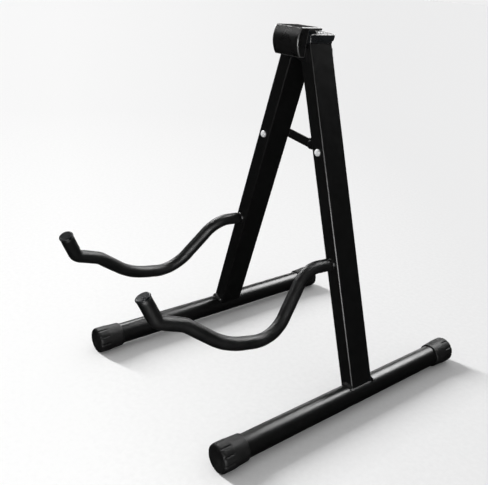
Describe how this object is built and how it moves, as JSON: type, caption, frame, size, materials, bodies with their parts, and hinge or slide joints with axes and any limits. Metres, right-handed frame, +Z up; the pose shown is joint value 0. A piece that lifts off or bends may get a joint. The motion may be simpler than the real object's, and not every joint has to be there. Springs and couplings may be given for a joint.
{
  "type": "guitar stand",
  "caption": "Folding A-frame floor stand: rectangular legs hinged at the top, round feet with rubber tips, bent foam-covered arms and a locking brace.",
  "frame": {"origin": "middle of the footprint on the floor, with the stand open", "axes": "+Z up, +X towards the right leg, -Y towards the arm tips (the front)"},
  "size_m": [0.2904, 0.41, 0.4034],
  "materials": {
    "black_paint": "satin powder coat",
    "black_steel": "satin black",
    "zinc_steel": "bright zinc",
    "foot_rubber": "matt with a light sheen",
    "bumper_rubber": "smooth satin rubber",
    "black_foam": "closed-cell foam sleeve, satin skin",
    "black_plastic": "satin moulded plastic"
  },
  "bodies": {
    "left_frame": {"left_arm_foam": "black_foam", "left_arm_plug": "black_plastic", "left_arm_tube": "black_paint", "left_arm_weld": "black_paint", "left_brace_pivot": "zinc_steel", "left_foot_tube": "black_paint", "left_front_foot_tip": "foot_rubber", "left_rear_foot_tip": "foot_rubber", "left_front_leg_weld": "black_paint", "left_rear_leg_weld": "black_paint", "left_leg_cap": "black_plastic", "left_leg_tube": "black_paint", "left_plate_rivet_1": "black_steel", "left_plate_rivet_2": "black_steel", "left_rear_hinge_plate": "black_steel", "left_hinge_bracket": "black_steel", "left_brace_spacer": "zinc_steel", "hinge_bumper": "bumper_rubber", "hinge_pin": "zinc_steel", "hinge_sleeve": "black_steel"},
    "right_frame": {"right_arm_foam": "black_foam", "right_arm_plug": "black_plastic", "right_arm_tube": "black_paint", "right_arm_weld": "black_paint", "right_brace_pivot": "zinc_steel", "right_foot_tube": "black_paint", "right_front_foot_tip": "foot_rubber", "right_rear_foot_tip": "foot_rubber", "right_front_leg_weld": "black_paint", "right_rear_leg_weld": "black_paint", "right_leg_cap": "black_plastic", "right_leg_tube": "black_paint", "right_plate_rivet_1": "black_steel", "right_plate_rivet_2": "black_steel", "right_rear_hinge_plate": "black_steel", "right_front_hinge_plate": "black_steel", "right_front_shim": "black_steel", "right_rear_shim": "black_steel"},
    "left_brace": {"left_brace_strap": "black_steel", "left_brace_stop": "black_steel", "left_brace_rivet": "black_steel"},
    "right_brace": {"right_brace_strap": "black_steel", "right_brace_rivet": "black_steel"}
  },
  "joints": [
    {"name": "stand_fold", "type": "hinge", "parent": "left_frame", "child": "right_frame", "pos_m": [0, 0.04476, 0.378], "axis": [0, 1, 0], "range_deg": [0, 34.6]},
    {"name": "left_brace_swing", "type": "hinge", "parent": "left_frame", "child": "left_brace", "pos_m": [-0.04718, 0.04476, 0.276], "axis": [0, -1, 0], "range_deg": [0, 61.4]},
    {"name": "right_brace_swing", "type": "hinge", "parent": "right_frame", "child": "right_brace", "pos_m": [0.04718, 0.04476, 0.276], "axis": [0, 1, 0], "range_deg": [0, 61.4]}
  ],
  "couplings": [
    {"joint": "left_brace_swing", "follows": "stand_fold", "ratio": 1.772},
    {"joint": "right_brace_swing", "follows": "stand_fold", "ratio": 1.772}
  ]
}
